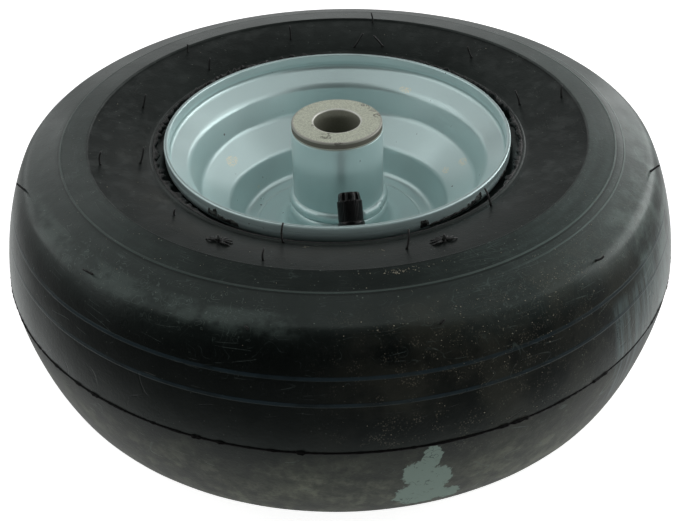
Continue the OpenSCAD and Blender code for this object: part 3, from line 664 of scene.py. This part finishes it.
def cap_surface(columns=480):
    """Radius for each height and turn. On the skirt a narrow groove follows each rib. On the
    crown the radius stops where the ray meets one of six round cutters."""
    t = np.linspace(0, 2 * np.pi, columns, endpoint=False)
    skirt_h = CAP_H - CROWN_H
    groove = np.clip(1 - np.abs((t * 40 / (2 * np.pi)) % 1 - 0.5) * 5, 0, 1) ** 0.8
    centre, cutter = CROWN_FOOT_R + 0.64, 1.6
    near = (t - math.pi / 6 + math.pi / 6) % (math.pi / 3) - math.pi / 6
    inside = cutter ** 2 - (centre * np.sin(near)) ** 2
    cut = np.where(inside > 0, centre * np.cos(near) - np.sqrt(np.maximum(inside, 0)), 99.0)
    rows = [(0.0, BORE_R, 0, 0), (0.0, CAP_FOOT_R - 0.25, 0, 0), (0.1, CAP_FOOT_R - 0.07, 0, 0),
            (0.28, CAP_FOOT_R, 0, 0), (FOOT_H - 0.25, CAP_FOOT_R, 0, 0),
            (FOOT_H - 0.06, CAP_FOOT_R - 0.08, 0, 0), (FOOT_H, CAP_FOOT_R - 0.25, 0, 0)]
    rows += [(z, CAP_R, 1, 0) for z in (FOOT_H, FOOT_H + 0.1, FOOT_H + 0.5, 5, 8, skirt_h - 0.5, skirt_h - 0.15)]
    rows += [(skirt_h - 0.03, CAP_R - 0.1, 0.7, 0), (skirt_h, CAP_R - 0.25, 0.3, 0),
             (skirt_h, CROWN_FOOT_R + 0.05, 0, 1), (skirt_h + 0.15, CROWN_FOOT_R, 0, 1)]
    rows += [(skirt_h + 1.2, 4.47, 0, 1), (skirt_h + 2.2, 4.35, 0, 1), (CAP_H - 0.6, CROWN_TOP_R + 0.02, 0, 1),
             (CAP_H - 0.3, CROWN_TOP_R - 0.1, 0, 1), (CAP_H - 0.1, CROWN_TOP_R - 0.3, 0, 1),
             (CAP_H, CROWN_TOP_R - 0.6, 0, 1), (CAP_H, 2.2, 0, 0), (CAP_H - 0.25, 1.6, 0, 0),
             (CAP_H - 0.3, 0.8, 0, 0), (CAP_H - 0.3, 0.0, 0, 0)]
    rows += [(10.45, 0.0, 0, 0), (10.45, 3.4, 0, 0), (10.2, BORE_R, 0, 0), (9.0, BORE_R, 0, 0)]
    rows = np.array(rows)
    r = rows[:, 1:2] - 0.25 * rows[:, 2:3] * groove
    soft_cut = cut + (rows[:, 1:2] - CROWN_TOP_R) * 0.3
    r = np.where(rows[:, 3:4] > 0, np.minimum(r, soft_cut), r)
    return on_valve(r * np.cos(t), r * np.sin(t), CAP_Z + rows[:, :1] + 0 * t), len(rows), columns


points, rows, columns = cap_surface()
cap = make("valve_cap_moulded", points, grid_faces(rows, columns), "cap", gloss_black, weld=0.001)
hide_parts("valve_cap")

# %% [markdown]
# ## The other nodes
# The rest of the valve keeps its exact solids and gets its finishes.

# %% Small finishes
soft_black = Finish("valve_rubber", Roughness=0.5)
mottle = soft_black.noise(0.002, 3, 0.6)
soft_black.feed("Base Color", soft_black.blend(mottle, (0.012, 0.012, 0.012), (0.022, 0.023, 0.022)))
soft_black.feed("Roughness", 0.42 + mottle * 0.2)
soft_black.relief(mottle, 0.00003)

brass = Finish("brass", Metallic=1.0)
lines = brass.noise(0.0008, 3, 0.6)
brass.feed("Base Color", brass.blend(lines, (0.62, 0.43, 0.17), (0.80, 0.62, 0.31)))
brass.feed("Roughness", 0.25 + lines * 0.2)
brass.relief(lines, 0.00001)

steel = Finish("spring_steel", Metallic=1.0)
drawn = steel.noise(0.0005, 3, 0.6)
steel.feed("Base Color", steel.blend(drawn, (0.45, 0.45, 0.45), (0.65, 0.65, 0.66)))
steel.feed("Roughness", 0.28 + drawn * 0.15)

seal = Finish("seal_rubber", Roughness=0.6)
seal.feed("Base Color", seal.blend(seal.noise(0.001, 2, 0.5), (0.015, 0.015, 0.015), (0.03, 0.03, 0.03)))

FINISHES = {"tyre_rubber": rubber, "rim_paint": paint, "sintered_metal": sinter, "valve_rubber": soft_black,
            "seal_rubber": seal, "brass": brass, "spring_steel": steel, "cap_plastic": gloss_black}
for part in frame["record"]["subparts"]:
    mesh = NODES[part["node"]].data
    mesh.materials.clear()
    mesh.materials.append(FINISHES[part["material_slot"]].material)

# %% [markdown]
# ## Spring
# The pin pushes the core's spring together. The coil is measured on the exact solid.

# %% Coil
SPRING_TURNS, PIN_TRAVEL = 7, 1.4
solid = np.array([v.co for v in NODES["core_spring"].data.vertices]) / MM - VALVE_FOOT
along = solid @ up
reach = np.linalg.norm(solid - along[:, None] * up, axis=1)
coil_r, wire_r = (reach.max() + reach.min()) / 2, (reach.max() - reach.min()) / 2
low, high = along.min() + wire_r, along.max() - wire_r
share = np.linspace(0, 1, 40 * SPRING_TURNS + 1)
share = np.concatenate([[0], share, [1]])
wire = np.full(len(share), wire_r)
wire[[0, -1]] = 0
b = np.linspace(0, 2 * np.pi, 12, endpoint=False)[:, None]
turn = 2 * np.pi * SPRING_TURNS * share
points = on_valve((coil_r + wire * np.cos(b)) * np.cos(turn), (coil_r + wire * np.cos(b)) * np.sin(turn),
                  low + (high - low) * share + wire * np.sin(b))
spring = make("core_spring_coil", points, grid_faces(12, len(share), wrap_columns=False),
              "wheel", steel, weld=0.0005)
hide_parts("core_spring")
foot = (VALVE_FOOT + (low - wire_r) * up) * MM
1 - PIN_TRAVEL / (high - low + 2 * wire_r)
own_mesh(spring)
print("spring length and radius in mm:", round(high - low, 2), round(coil_r, 3), "wire", round(2 * wire_r, 3))

# %% [markdown]
# ## Vent hairs
# Air leaves the mould through small holes, and rubber follows it. The hairs that are left stand on
# the sidewall. Each is a thin bent rod with a root and a tip.

# %% Hairs
HAIRS = np.array([
    (-67.4, 71.7, 48.3, -67.1, 71.2, 52.3), (-56.9, 60.5, 44.9, -56.2, 59.2, 51.1),
    (-82.7, 24.9, 45.8, -81.0, 24.5, 52.1), (-93.3, -25.4, 48.0, -92.5, -25.2, 53.7),
    (-78.9, -18.6, 44.4, -76.9, -18.1, 51.1), (-20.7, 86.4, 46.4, -20.8, 84.7, 53.9),
    (-122.7, -33.5, 42.4, -125.1, -34.0, 45.7), (-61.0, -58.4, 45.3, -60.9, -58.0, 47.7),
    (-20.4, -75.0, 43.4, -20.3, -72.9, 50.3), (-26.8, -91.9, 47.8, -26.4, -91.1, 52.3),
    (18.1, 97.7, 48.5, 17.6, 96.9, 53.8), (22.1, 79.8, 44.9, 18.0, 78.1, 51.0),
    (9.2, 80.8, 44.5, 13.0, 78.7, 52.0), (61.8, 63.4, 46.4, 59.8, 62.5, 51.9),
    (78.0, 22.0, 44.4, 75.8, 21.5, 51.0), (95.5, 20.3, 48.2, 95.0, 20.1, 53.9),
    (57.0, -54.6, 43.8, 54.6, -53.2, 50.3), (122.1, -32.7, 43.0, 125.0, -33.7, 46.4),
    (23.6, -85.1, 46.3, 24.3, -83.5, 53.5), (90.4, -89.6, 42.4, 92.4, -91.6, 45.5),
    (-87.4, -91.3, 43.0, -89.7, -93.6, 46.9), (32.9, -122.7, 42.5, 33.6, -125.4, 46.0),
    (-31.3, -123.3, 42.4, -31.8, -125.3, 45.1)])


def rods(root, tip, thick, bow, taper=0.35, sides=6, rings=7):
    """Rods from root to tip: each point of the middle line adds a bow that is largest halfway, and
    a ring of sides points stands round it. The last ring closes to a blunt end."""
    n = len(root)
    s = np.linspace(0, 1, rings)
    line = root[:, None] + (tip - root)[:, None] * s[:, None] + bow[:, None] * (4 * s * (1 - s))[:, None]
    along = tip - root
    along /= np.linalg.norm(along, axis=1)[:, None]
    a = np.cross(along, (0.3, 0.5, 0.1))
    a /= np.linalg.norm(a, axis=1)[:, None]
    b = np.cross(along, a)
    t = np.linspace(0, 2 * np.pi, sides, endpoint=False)
    ring = a[:, None] * np.cos(t)[:, None] + b[:, None] * np.sin(t)[:, None]
    width = thick[:, None] * (1 - taper * s)
    width[:, 0] *= 1.3
    points = line[:, :, None] + width[:, :, None, None] * ring[:, None]
    side = grid_faces(rings, sides, wrap_rows=False)
    quads = (side[None] + (np.arange(n) * rings * sides)[:, None, None]).reshape(-1, 4)
    first = np.arange(n)[:, None] * rings * sides
    cap0 = np.array([[0, 3, 2, 1], [0, 5, 4, 3]])
    top = (rings - 1) * sides
    cap1 = np.array([[0, 1, 2, 3], [0, 3, 4, 5]]) + top
    ends = np.concatenate([(first + c[None]).reshape(-1, 4) for c in (*cap0, *cap1)])
    return points.reshape(-1, 3), np.concatenate([quads, ends])


root, tip = HAIRS[:, :3], HAIRS[:, 3:]
root = root - 0.5 * (tip - root) / np.linalg.norm(tip - root, axis=1)[:, None]
bow = rng.normal(size=(len(root), 3)) * 0.35
points, faces = rods(root, tip, np.full(len(root), 0.47), bow, taper=0.2)
hairs = make("vent_hairs", points, faces, "wheel", soft_black)

# %% [markdown]
# ## Torn rubber
# Three kinds of leftover rubber stay on a cheap tyre. A thin fin runs along the parting line of the
# mould, with a few nibs. Lumps hang from the tyre's inner edge into the gap at the rim. Torn film
# clings to the outer wall of the lip, most of it at the front left and front right.


# %% Fin on the parting line
def window(angle, middle, half, soft):
    """1 within half degrees of the middle, falling to 0 over soft more degrees."""
    away = np.abs((np.degrees(angle) - middle + 180) % 360 - 180)
    return np.clip((half + soft - away) / soft, 0, 1)


def coarse(angle, steps, seed):
    """Random heights from 0 to 1 at even steps round the axle, joined by straight lines."""
    heights = np.random.default_rng(seed).uniform(size=steps)
    at = angle / (2 * np.pi) * steps
    low = at.astype(int) % steps
    return heights[low] * (1 - at % 1) + heights[(low + 1) % steps] * (at % 1)


angle = np.linspace(0, 2 * np.pi, 2400, endpoint=False)
stand = 0.12 + 0.28 * coarse(angle, 900, 1) ** 2 + 0.35 * coarse(angle, 90, 2) ** 3
for middle, half, tall in ((263.8, 0.35, 1.0), (248.3, 0.5, 0.7), (252.1, 0.3, 0.8), (296.2, 1.2, 0.7),
                           (293.5, 0.5, 0.6), (229.8, 0.6, 0.5), (312.0, 1.5, 0.5), (226, 0.3, 0.5)):
    stand = stand + tall * window(angle, middle, half, 0.35) * (0.5 + 0.5 * coarse(angle, 1100, 5))
edge = 0.30 + 0.2 * coarse(angle, 700, 3) + 0.3 * stand
fin_r = np.stack([TYRE_R - 0.6 + 0 * angle, TYRE_R - 0.1 + 0 * angle, TYRE_R + 0.7 * stand,
                  TYRE_R + stand, TYRE_R + 0.6 * stand, TYRE_R - 0.1 + 0 * angle, TYRE_R - 0.6 + 0 * angle])
fin_z = np.stack([edge, edge, 0.7 * edge, 0.1 * edge, -0.7 * edge, -edge, -edge])
points = np.stack([fin_r * np.cos(angle), fin_r * np.sin(angle), fin_z], -1).reshape(-1, 3)
torn_black = Finish("fin_rubber", Specular_IOR_Level=0.15, Roughness=0.6)
torn_black.feed("Base Color", torn_black.blend(torn_black.noise(0.002, 2, 0.5), (0.001, 0.001, 0.001), (0.003, 0.003, 0.003)))
make("parting_fin", points, grid_faces(7, 2400), "wheel", torn_black)

# %% Lumps at the inner edge
wet_black = Finish("torn_rubber", Roughness=0.3)
wet = wet_black.noise(0.0012, 4, 0.65)
wet_black.feed("Base Color", wet_black.blend(wet.step(0.4, 0.75), (0.006, 0.006, 0.006), (0.045, 0.05, 0.047)))
wet_black.feed("Roughness", 0.25 + wet * 0.35)
wet_black.relief(wet, 0.0003)

angle = np.linspace(0, 2 * np.pi, 1800, endpoint=False)
where = (0.10 + window(angle, 208, 15, 8) + 0.6 * window(angle, 178, 12, 10) + window(angle, 348, 14, 10)
         + 0.5 * window(angle, 140, 20, 20) + 0.5 * window(angle, 30, 20, 20))
hang = where * (0.3 + 2.6 * coarse(angle, 240, 6) ** 2 + 1.0 * coarse(angle, 620, 7) ** 2)
back = window(angle, 128, 22, 18) + 0.75 * window(angle, 40, 26, 14) + 0.3 * window(angle, 90, 30, 20)
lift = where * (0.9 * coarse(angle, 300, 8) - 0.3) + back * (0.4 + 2.2 * coarse(angle, 330, 9) ** 1.5)
lump = np.array([(0.25, -1.6, 0.0, 0.0), (0.2, 0.1, 0.0, 0.3), (-0.1, 0.35, 0.35, 0.8), (-0.2, 0.2, 0.75, 1.0),
                 (-0.25, -0.3, 1.0, 0.6), (-0.2, -1.0, 0.85, 0.0), (0.0, -2.0, 0.4, 0.0)])
lump_r = EDGE[0] + lump[:, :1] - lump[:, 2:3] * hang
lump_z = EDGE[1] + lump[:, 1:2] + lump[:, 3:4] * lift
points = np.stack([lump_r * np.cos(angle), lump_r * np.sin(angle), lump_z], -1).reshape(-1, 3)
make("edge_lumps", points, grid_faces(7, 1800), "wheel", wet_black)


# %% Film on the lip
def film(start, end, foot, ragged, crest, seed):
    """Film on the outer wall of the lip between two directions. Its foot stays in the gap. Its
    upper edge is a coarse random line between the foot and the crest, and its skin is crumpled."""
    steps = int((end - start) * 6)
    turn = np.radians(np.linspace(start, end, steps))
    draw = np.random.default_rng(seed)
    wide, fine = (np.interp(np.arange(steps), np.arange(0, steps + gap, gap), draw.uniform(size=1 + -(-steps // gap)))
                  for gap in (11, 3))
    fade = np.clip(np.minimum(np.arange(steps), steps - 1 - np.arange(steps)) / 3, 0, 1)
    top = foot + (crest - foot) * fade * (1 - ragged * (0.75 * wide + 0.25 * fine))
    share = np.linspace(0, 1, 9)[:, None]
    z = foot + (top - foot) * share
    wall = bent(RIM, -SHEET)
    wall = wall[(wall[:, 1] > 36) & (wall[:, 0] > 68)][::-1]
    base = np.interp(z, wall[:, 1], wall[:, 0])
    thick = (0.12 + 0.55 * draw.uniform(size=(9, steps)) ** 2) * np.sin(np.pi * np.clip(share, 0.04, 0.96)) ** 0.4
    thick = thick * fade + 0.02
    outer = np.stack([(base + thick) * np.cos(turn), (base + thick) * np.sin(turn), z], -1)
    inner = np.stack([(base - 0.25) * np.cos(turn), (base - 0.25) * np.sin(turn), z], -1)
    loop = np.concatenate([outer, inner[::-1]])
    return loop.reshape(-1, 3), grid_faces(18, steps, wrap_columns=False), steps


def closed_ends(faces, rows, columns):
    """Adds a fan of quads over the first and last column, so that the loop is a closed solid."""
    half = rows // 2
    i = np.arange(half - 1)
    first = np.stack([i, i + 1, rows - 2 - i, rows - 1 - i], 1) * columns
    return np.concatenate([faces, first, first[:, ::-1] + columns - 1])


all_points, all_faces, count = [], [], 0
for start, end, foot, ragged, crest, seed in ((225.4, 229.6, 41.0, 0.85, 45.9, 1), (229.4, 238.0, 40.4, 0.6, 42.9, 2),
                                              (294.8, 298.2, 40.6, 0.5, 43.9, 3), (298.2, 313.5, 40.2, 0.55, 42.0, 4),
                                              (313.0, 320.5, 40.4, 0.8, 44.4, 5), (332.0, 340.0, 40.0, 0.8, 42.4, 6)):
    points, faces, columns = film(start, end, foot, ragged, crest, seed)
    all_points.append(points)
    all_faces.append(closed_ends(faces, 18, columns) + count)
    count += len(points)
thin_film = Finish("thin_film", Specular_IOR_Level=0.5)
clot = thin_film.noise(0.0022, 4, 0.6, shift=1)
thin_film.feed("Base Color", thin_film.blend(clot.step(0.42, 0.6), (0.008, 0.009, 0.008), (0.105, 0.125, 0.115)))
thin_film.feed("Roughness", 0.3 + clot * 0.4)
thin_film.relief(clot, 0.0004)
make("lip_film", np.concatenate(all_points), np.concatenate(all_faces), "wheel", thin_film)

# %% Vent fans
# Each fan is a stub with ridges that bend away from it like the ribs of a shell.
fan_roots, fan_tips, fan_bows, fan_widths = [], [], [], []
for turn in (241.0, 294.5):
    a = math.radians(turn)
    out = np.array([math.cos(a), math.sin(a), 0.22])
    across = np.array([-math.sin(a), math.cos(a), 0.0])
    heart = 89.4 * np.array([math.cos(a), math.sin(a), 0]) + np.array([0, 0, 46.75])
    for swing in (-98, -70, -45, -15, 15, 45, 70, 98):
        b = math.radians(swing)
        way = -out * math.cos(b) + across * math.sin(b)
        long = 3.8 + 1.5 * abs(math.sin(b))
        fan_roots.append(heart + 0.8 * way)
        fan_tips.append(heart + long * way - np.array([0, 0, 0.35]))
        fan_bows.append(0.9 * abs(math.sin(b)) * out + np.array([0, 0, 0.65]))
        fan_widths.append(0.6)
    fan_roots.append(heart - np.array([0, 0, 0.6]))
    fan_tips.append(heart + np.array([0, 0, 2.6]))
    fan_bows.append(np.zeros(3))
    fan_widths.append(1.15)
points, faces = rods(np.array(fan_roots), np.array(fan_tips), np.array(fan_widths), np.array(fan_bows), taper=0.6)
make("vent_fans", points, faces, "wheel", wet_black)

# %% [markdown]
# ## Grit
# Grains of sandy dirt lie on the front right of the shoulder and here and there on the sidewall.
# They are squashed eight-sided stones, placed by chance round a few spots.


# %% Grains
def tyre_height(r):
    """Height of the upper outside of the tyre at a distance from the axle."""
    line = tyre_half[:np.argmin(np.abs(tyre_half[:, 0] - 78.2))][::-1]
    return np.interp(r, line[:, 0], line[:, 1])


def stones(turn, r, size, seed):
    """Squashed eight-sided stones on the tyre's upper side, each turned by chance."""
    draw = np.random.default_rng(seed)
    n = len(turn)
    t = np.radians(turn)
    place = np.stack([r * np.cos(t), r * np.sin(t), tyre_height(r) + 0.1 * size], 1)
    shape = np.array([(1, 0, 0), (0, 1, 0), (-1, 0, 0), (0, -1, 0), (0, 0, 0.6), (0, 0, -0.6)])
    spin = draw.uniform(0, 2 * np.pi, n)
    x = shape[:, 0] * np.cos(spin)[:, None] - shape[:, 1] * np.sin(spin)[:, None]
    y = shape[:, 0] * np.sin(spin)[:, None] + shape[:, 1] * np.cos(spin)[:, None]
    z = np.broadcast_to(shape[:, 2], x.shape)
    points = place[:, None] + size[:, None, None] * np.stack([x, y, z], -1) * draw.uniform(0.6, 1.3, (n, 6, 1))
    faces = np.array([(0, 1, 4), (1, 2, 4), (2, 3, 4), (3, 0, 4), (1, 0, 5), (2, 1, 5), (3, 2, 5), (0, 3, 5)])
    return points.reshape(-1, 3), (faces[None] + 6 * np.arange(n)[:, None, None]).reshape(-1, 3)


def scatter(n, turn, r, spread_turn, spread_r, small, large, seed):
    """n places with a bell-shaped spread, and sizes with few large ones."""
    draw = np.random.default_rng(seed)
    return (draw.normal(turn, spread_turn, n), np.clip(draw.normal(r, spread_r, n), 79, 139.5),
            small + (large - small) * draw.uniform(size=n) ** 4)


spots = [scatter(700, 300, 130.5, 11, 5.5, 0.07, 0.36, 1), scatter(140, 318, 124, 9, 6.0, 0.08, 0.36, 2),
         scatter(70, 326, 131, 2.5, 3.0, 0.08, 0.3, 11), scatter(60, 338, 128, 3, 3.5, 0.08, 0.3, 12),
         scatter(26, 280.8, 104.6, 1.0, 0.6, 0.15, 0.75, 3), scatter(60, 283, 103.9, 5, 0.5, 0.10, 0.3, 4),
         scatter(8, 261.3, 80.5, 0.5, 0.5, 0.2, 0.5, 5), scatter(8, 279.4, 86.2, 0.6, 0.6, 0.2, 0.5, 6),
         scatter(150, 285, 110, 60, 14, 0.08, 0.34, 7), scatter(60, 330, 112, 18, 9, 0.10, 0.36, 8),
         scatter(90, 235, 118, 25, 8, 0.08, 0.26, 9), scatter(80, 90, 105, 60, 14, 0.08, 0.3, 10)]
turn, r, size = (np.concatenate([s[k] for s in spots]) for k in range(3))
sand = Finish("sandy_grit", Roughness=0.9)
tint = sand.noise(0.0007, 2, 0.5)
sand.feed("Base Color", sand.blend(tint.step(0.3, 0.7), (0.11, 0.105, 0.08), (0.34, 0.33, 0.26)))
points, faces = stones(turn, r, size, 12)
make("grit", points, faces, "wheel", sand, sealed=False)

# %% [markdown]
# ## Floor and light
# A white floor carries the wheel. Large soft lamps stand in a half ring behind it, the brightest
# one on the right. Nothing shines from the front, so the front of the tread stays nearly black.

# %% Floor
FLOOR_Z = -0.0512
floor = bpy.data.objects.new("floor", bpy.data.meshes.new("floor"))
floor.data.from_pydata([(-9, -9, FLOOR_Z), (9, -9, FLOOR_Z), (9, 9, FLOOR_Z), (-9, 9, FLOOR_Z)], [], [(0, 1, 2, 3)])
scene.collection.objects.link(floor)
white = Finish("white_floor", Roughness=1.0, Specular_IOR_Level=0.0)
x, y, z = (white.node("ShaderNodeSeparateXYZ", {}, white.place, out=k) for k in range(3))
reach = (x * x + (y - 0.03) * (y - 0.03)) ** 0.5
# For rays not shown white, the floor glows within a third of a metre of the wheel as painted light on the tyre's
# underside, and farther out it is painted darker as a painted shadow.
near = reach.step(0.33, 0.16)
seen, mirrored, through = white.rays()
behind = y.step(0.0, 0.4)
shown = seen + (mirrored * 0.25 + through) * behind
unseen = (1 - shown).step(0, 1)
white.feed("Base Color", white.blend(unseen * (1 - near), (0.85, 0.85, 0.85), (0.22, 0.22, 0.22)))
white.feed("Emission Color", shown * 0.86 + unseen * near * 0.36)
white.shader.inputs["Emission Strength"].default_value = 1.0
floor.data.materials.append(white.material)

# %% World and lamps
world = bpy.data.worlds.new("room")
scene.world = world
world.use_nodes = True
room = Graph(world.node_tree)
sky = room.tree.nodes["Background"]
sky.inputs["Color"].default_value = (1, 1, 1, 1)
seen, mirrored, through = room.rays()
way = room.node("ShaderNodeTexCoord", {}, out="Generated")
north, rise = (room.node("ShaderNodeSeparateXYZ", {}, way, out=k) for k in (1, 2))
behind = north.step(0.0, 0.6) * rise.step(0.4, 0.1)
strength = seen + (mirrored * 0.3 + through) * behind + 0.004
room.tree.links.new(strength.socket, sky.inputs["Strength"])


def lamp(name, glow, azimuth, elevation, distance, width, height):
    """A rectangular lamp that looks at the wheel from a direction in degrees. Its power in watts
    is glow times pi times its area, so that glow 1 looks as bright as white paper."""
    a, e = math.radians(azimuth), math.radians(elevation)
    place = distance * Vector((math.cos(e) * math.cos(a), math.cos(e) * math.sin(a), math.sin(e)))
    light = bpy.data.objects.new(name, bpy.data.lights.new(name, "AREA"))
    light.data.shape = "RECTANGLE"
    light.data.size, light.data.size_y = width, height
    light.data.energy = glow * math.pi * width * height
    light.location = place
    light.rotation_mode = "QUATERNION"
    light.rotation_quaternion = (-place).to_track_quat("-Z", "Y")
    light.visible_camera = False
    scene.collection.objects.link(light)
    return light


for name, glow, azimuth, elevation, width, height in (
        ("lamp_right_low", 2.6, 12, 14, 0.75, 0.42), ("lamp_right_back", 1.6, 47, 14, 0.5, 0.42),
        ("lamp_right_front", 0.45, -36, 26, 0.4, 0.7), ("lamp_right_high", 1.0, 12, 38, 1.2, 0.42),
        ("lamp_right_top", 0.6, 0, 62, 0.9, 0.42), ("lamp_back_low", 0.4, 90, 14, 0.9, 0.42),
        ("lamp_back_high", 0.38, 85, 38, 0.9, 0.42), ("lamp_back_left", 0.65, 135, 26, 0.5, 0.8),
        ("lamp_left_low", 0.8, 178, 14, 0.9, 0.42), ("lamp_left_high", 1.0, 182, 38, 0.9, 0.42),
        ("lamp_left_top", 0.7, 180, 62, 0.8, 0.42), ("lamp_top", 0.8, 90, 84, 0.5, 0.42)):
    lamp(name, glow, azimuth, elevation, 0.95, width, height)
fill = lamp("lamp_fill", 11, 270, 12.5, 0.95, 0.6, 0.1)
fill.visible_glossy = False
